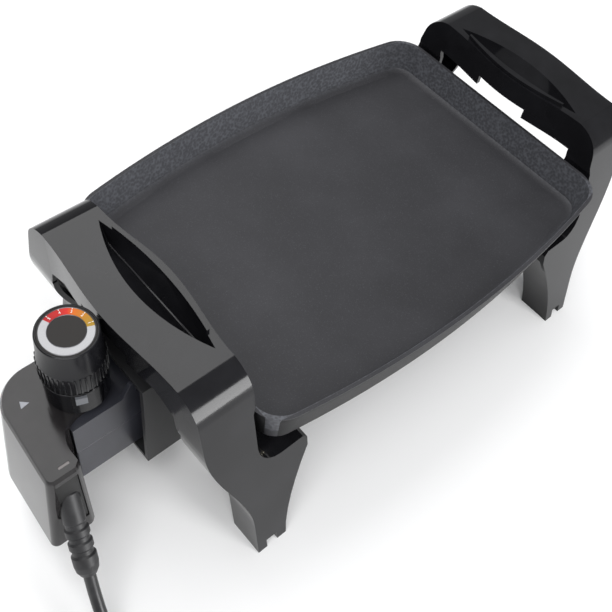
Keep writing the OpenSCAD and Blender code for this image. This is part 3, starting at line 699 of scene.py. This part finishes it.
class GRIDDLE_OT_thermostat(bpy.types.Operator):
    """Finish what is inside the control"""

    bl_idname = "griddle.thermostat"
    bl_label = "Thermostat"

    def execute(self, context):
        steel = rolled_steel("Frame plate", (0.55, 0.56, 0.57), 0.3, (1, 8, 8))
        brass = rolled_steel("Contact bronze", (0.72, 0.5, 0.24), 0.28, (1, 8, 8))
        dress(steel, "thermostat_frame", "dial_spindle", "control_screws")
        dress(brass, "bimetal_strip", "contact_blades", "spindle_bush", "terminal_sockets")
        dress(plain_ceramic(), "contact_insulators", "socket_block")
        dress(rolled_steel("Probe sheath", (0.72, 0.72, 0.73), 0.16, (1, 20, 20)), "probe_tube")
        dress(wire_sleeve(), "lead_wires")
        dress(tinted_window("Lamp glass", (0.55, 0.2, 0.08)), "pilot_lamp")
        dress(tinted_window("Window red", (0.03, 0.006, 0.005)), "pilot_lens")
        return {"FINISHED"}


# Corners of the index mark from the pan's middle, how far it is sunk, and its thickness
INDEX_CORNERS = [(-0.2250, 0.0095), (-0.2264, 0.0052), (-0.2212, 0.0060)]
INDEX_SUNK = 0.0002
INDEX_THICK = 0.0005


def index_mark(material):
    """Small raised triangle on the cover that points at the dial."""
    bm = bmesh.new()
    verts = [bm.verts.new((x + PAN_X, y, COVER_TOP - INDEX_SUNK)) for x, y in INDEX_CORNERS]
    face = bm.faces.new(verts)
    raised = bmesh.ops.extrude_face_region(bm, geom=[face])["geom"]
    lifted = [item for item in raised if isinstance(item, bmesh.types.BMVert)]
    bmesh.ops.translate(bm, verts=lifted, vec=(0, 0, INDEX_THICK))
    edges = [edge for edge in bm.edges if all(vert in lifted for vert in edge.verts)]
    bmesh.ops.bevel(bm, geom=edges, offset=0.00015, segments=2, profile=0.5,
                    affect="EDGES", material=-1)
    piece_from("index_mark", bm, material, "control")


class GRIDDLE_OT_dial(bpy.types.Operator):
    """Make the dial's face with its ring, heat marks and numbers"""

    bl_idname = "griddle.dial"
    bl_label = "Dial"

    def execute(self, context):
        dial = context.scene.griddle_dial
        black = glossy_moulding("Knob resin", (0.005, 0.005, 0.006), 0.16)
        self.make_knob(black)
        collar = glossy_moulding("Collar resin", (0.004, 0.004, 0.005), 0.14)
        moulded("dial_collar", collar, "control", 0.0005)
        # The pointer's pale grey is a painted highlight: it stands for the softbox's reflection on the
        # front of the collar
        dress(satin_moulding("Pointer painted highlight", (0.11, 0.115, 0.125), 0.35), "dial_pointer")
        margin = math.radians(10)
        dress(printed_dial(dial.first_angle - margin, dial.last_angle + margin), "knob_dial")
        self.make_rims()
        self.make_marks(dial)
        index_mark(mark_ink("Index paint", (0.32, 0.33, 0.36)))
        return {"FINISHED"}

    def make_knob(self, material):
        """A hollow turned body with upright grip ribs round its skirt."""
        low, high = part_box("knob")
        skirt = (high.x - low.x) / 2 - RIB_STANDS
        top = skirt - 0.0014
        hub = 0.003
        profile = [
            (0, high.z - 0.005), (0, high.z - 0.0012), (top - 0.0014, high.z - 0.0012),
            (top - 0.0014, high.z - 0.0003), (top - 0.0011, high.z), (top - 0.0007, high.z),
            (top - 0.0002, high.z - 0.0003), (top, high.z - 0.0012),
            (skirt - 0.0005, low.z + KNOB_RIB + 0.0025), (skirt - 0.0002, low.z + KNOB_RIB + 0.002),
            (skirt, low.z + KNOB_RIB + 0.001), (skirt, low.z + 0.0008), (skirt - 0.0006, low.z),
            (top - KNOB_WALL, low.z), (top - KNOB_WALL, high.z - 0.004), (hub + 0.0025, high.z - 0.004),
            (hub + 0.0025, low.z), (hub, low.z), (hub, high.z - 0.005),
        ]
        body = revolved("knob_body", profile, (DIAL.x, DIAL.y, 0), 120, material,
                        "dial")
        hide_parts("knob")
        bm = bmesh.new()
        for i in range(KNOB_RIBS):
            place = (Matrix.Translation((DIAL.x, DIAL.y, low.z + 0.0008 + KNOB_RIB / 2))
                     @ Matrix.Rotation(2 * math.pi * i / KNOB_RIBS, 4, "Z")
                     @ Matrix.Translation((skirt + 0.00005, 0, 0))
                     @ Matrix.Diagonal((RIB_THICK, RIB_THICK, KNOB_RIB, 1)))
            bmesh.ops.create_cube(bm, size=1, matrix=place)
        bmesh.ops.bevel(bm, geom=bm.edges[:], offset=0.0003, segments=2, profile=0.5,
                        affect="EDGES", material=-1)
        ribs = piece_from("knob_ribs", bm, material, "dial")
        smooth_by_angle(ribs.data, 40)

    def make_rims(self):
        """Bright rings at the edge of the face and round its dark middle."""
        bright = rolled_steel("Ring plate", (0.16, 0.16, 0.17), 0.3, (1, 1, 1))
        z = DIAL_TOP
        for name, radius in (("dial_outer_ring", RING_OUTER), ("dial_inner_ring", RING_INNER)):
            profile = [(radius - 0.0002, z - 0.0002), (radius + 0.0002, z - 0.0002),
                       (radius + 0.0002, z + 0.0001), (radius, z + 0.0002), (radius - 0.0002, z + 0.0001)]
            revolved(name, profile, (DIAL.x, DIAL.y, 0), 96, bright, "dial")

    def make_marks(self, dial):
        """A tick and a number at each heat mark."""
        ink = mark_ink("Dial ink", (0.85, 0.84, 0.8))
        bm = bmesh.new()
        step = (dial.last_angle - dial.first_angle) / (dial.marks - 1)
        for i in range(dial.marks):
            turn = Matrix.Rotation(dial.first_angle + i * step, 4, "Z")
            centre = Matrix.Translation((DIAL.x, DIAL.y, DIAL_TOP + 0.00005))
            size = Matrix.Diagonal((0.0009, 0.0003, 0.0002, 1))
            place = centre @ turn @ Matrix.Translation((RING_OUTER - 0.0006, 0, 0)) @ size
            bmesh.ops.create_cube(bm, size=1, matrix=place)
        piece_from("dial_ticks", bm, ink, "dial")
        for i in range(dial.marks):
            self.make_number(str(i + 1), dial.first_angle + i * step, ink)

    def make_number(self, text, angle, ink):
        curve = bpy.data.curves.new("number_" + text, "FONT")
        curve.body = text
        curve.size = 0.0022
        curve.extrude = 0.00008
        curve.align_x = "CENTER"
        curve.align_y = "CENTER"
        letters = bpy.data.objects.new("number_" + text, curve)
        mesh = bpy.data.meshes.new_from_object(letters)
        bpy.data.objects.remove(letters)
        place = (Matrix.Translation((DIAL.x, DIAL.y, DIAL_TOP + 0.0001)) @ Matrix.Rotation(angle, 4, "Z")
                 @ Matrix.Translation((RING_INNER + 0.0019, 0, 0))
                 @ Matrix.Rotation(math.radians(-90), 4, "Z"))
        mesh.transform(place)
        number = linked("dial_number_" + text, mesh)
        give(number, ink)
        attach(number, "dial")


# ---------------------------------------------------------------- stage

CAMERA_PLACE = Vector((-0.2879, -0.2164, 0.5124))
CAMERA_YAW = math.radians(50.9)
CAMERA_PITCH = math.radians(54.8)
CAMERA_ROLL = math.radians(11.6)


def camera_turn():
    """Rotation that looks along the yaw and pitch, then rolls about the view."""
    ahead = Vector((
        math.sin(CAMERA_YAW) * math.cos(CAMERA_PITCH),
        math.cos(CAMERA_YAW) * math.cos(CAMERA_PITCH),
        -math.sin(CAMERA_PITCH),
    ))
    level = Vector((math.cos(CAMERA_YAW), -math.sin(CAMERA_YAW), 0))
    upright = level.cross(ahead)
    right = math.cos(CAMERA_ROLL) * level + math.sin(CAMERA_ROLL) * upright
    up = math.cos(CAMERA_ROLL) * upright - math.sin(CAMERA_ROLL) * level
    return Matrix((right, up, -ahead)).transposed()


# Name, place, target, width, height and share of the softbox's power
LIGHTS = [
    ("Softbox left", (-0.75, -0.5, 1.6), (0, 0, 0.1), 1.2, 1.2, 1),
    ("Softbox above", (0.1, 0.72, 1.3), (0.1, 0.62, 0.1), 0.8, 1.1, 0.65),
    ("Strip front", (0.33, -1.3, 0.42), (0.33, 0, 0.4), 0.5, 0.8, 0.95),
]
SKY = (0.97, 0.98, 1.0, 1.0)
SKY_STRENGTH = 0.4
FLOOR_HALF = 4


def softbox(name, place, target, width, height, power):
    data = bpy.data.lights.new(name, "AREA")
    data.shape = "RECTANGLE"
    data.size = width
    data.size_y = height
    data.energy = power
    light = linked(name, data)
    light.location = place
    light.rotation_euler = (Vector(target) - Vector(place)).to_track_quat("-Z", "Y").to_euler()


class GRIDDLE_OT_camera(bpy.types.Operator):
    """Place the camera"""

    bl_idname = "griddle.camera"
    bl_label = "Camera"

    def execute(self, context):
        data = bpy.data.cameras.new("View")
        data.lens = context.scene.griddle_studio.lens
        data.sensor_width = 36
        data.clip_start = 0.01
        camera = linked("View", data)
        place = Matrix.Translation(CAMERA_PLACE + Vector((PAN_X, 0, 0)))
        camera.matrix_world = place @ camera_turn().to_4x4()
        context.scene.camera = camera
        return {"FINISHED"}


class GRIDDLE_OT_stage(bpy.types.Operator):
    """Lay the pale floor and set the studio light"""

    bl_idname = "griddle.stage"
    bl_label = "Floor and light"

    def execute(self, context):
        studio = context.scene.griddle_studio
        bm = bmesh.new()
        bmesh.ops.create_grid(bm, x_segments=4, y_segments=4, size=FLOOR_HALF)
        mesh = bpy.data.meshes.new("floor")
        bm.to_mesh(mesh)
        bm.free()
        floor = linked("floor", mesh)
        give(floor, pale_floor(studio.floor_colour))
        for name, place, target, width, height, share in LIGHTS:
            softbox(name, place, target, width, height, studio.softbox * share)
        world = bpy.data.worlds.new("Studio white")
        world.use_nodes = True
        background = world.node_tree.nodes["Background"]
        background.inputs["Color"].default_value = SKY
        background.inputs["Strength"].default_value = SKY_STRENGTH
        context.scene.world = world
        context.scene.view_settings.view_transform = "Standard"
        return {"FINISHED"}


OPERATORS = [
    GRIDDLE_OT_camera,
    GRIDDLE_OT_cord,
    GRIDDLE_OT_plug,
    GRIDDLE_OT_pan,
    GRIDDLE_OT_end_frames,
    GRIDDLE_OT_inlet,
    GRIDDLE_OT_housing,
    GRIDDLE_OT_thermostat,
    GRIDDLE_OT_dial,
    GRIDDLE_OT_stage,
]


class GRIDDLE_PT_panel(bpy.types.Panel):
    """Lists the griddle's settings and operators"""

    bl_label = "Electric Griddle"
    bl_idname = "GRIDDLE_PT_panel"
    bl_space_type = "VIEW_3D"
    bl_region_type = "UI"
    bl_category = "Griddle"

    def draw(self, context):
        for name, group in SETTINGS.items():
            column = self.layout.column(align=True)
            for field in group.__annotations__:
                column.prop(getattr(context.scene, name), field)
        for operator in OPERATORS:
            self.layout.operator(operator.bl_idname)


def register():
    for cls in [*SETTINGS.values(), *OPERATORS, GRIDDLE_PT_panel]:
        bpy.utils.register_class(cls)
    for name, group in SETTINGS.items():
        setattr(bpy.types.Scene, name, PointerProperty(type=group))


def unregister():
    for name in SETTINGS:
        delattr(bpy.types.Scene, name)
    for cls in reversed([*SETTINGS.values(), *OPERATORS, GRIDDLE_PT_panel]):
        bpy.utils.unregister_class(cls)


def main():
    register()
    for operator in OPERATORS:
        group, name = operator.bl_idname.split(".")
        getattr(getattr(bpy.ops, group), name)()
    bpy.context.view_layer.update()


if __name__ == "__main__":
    main()
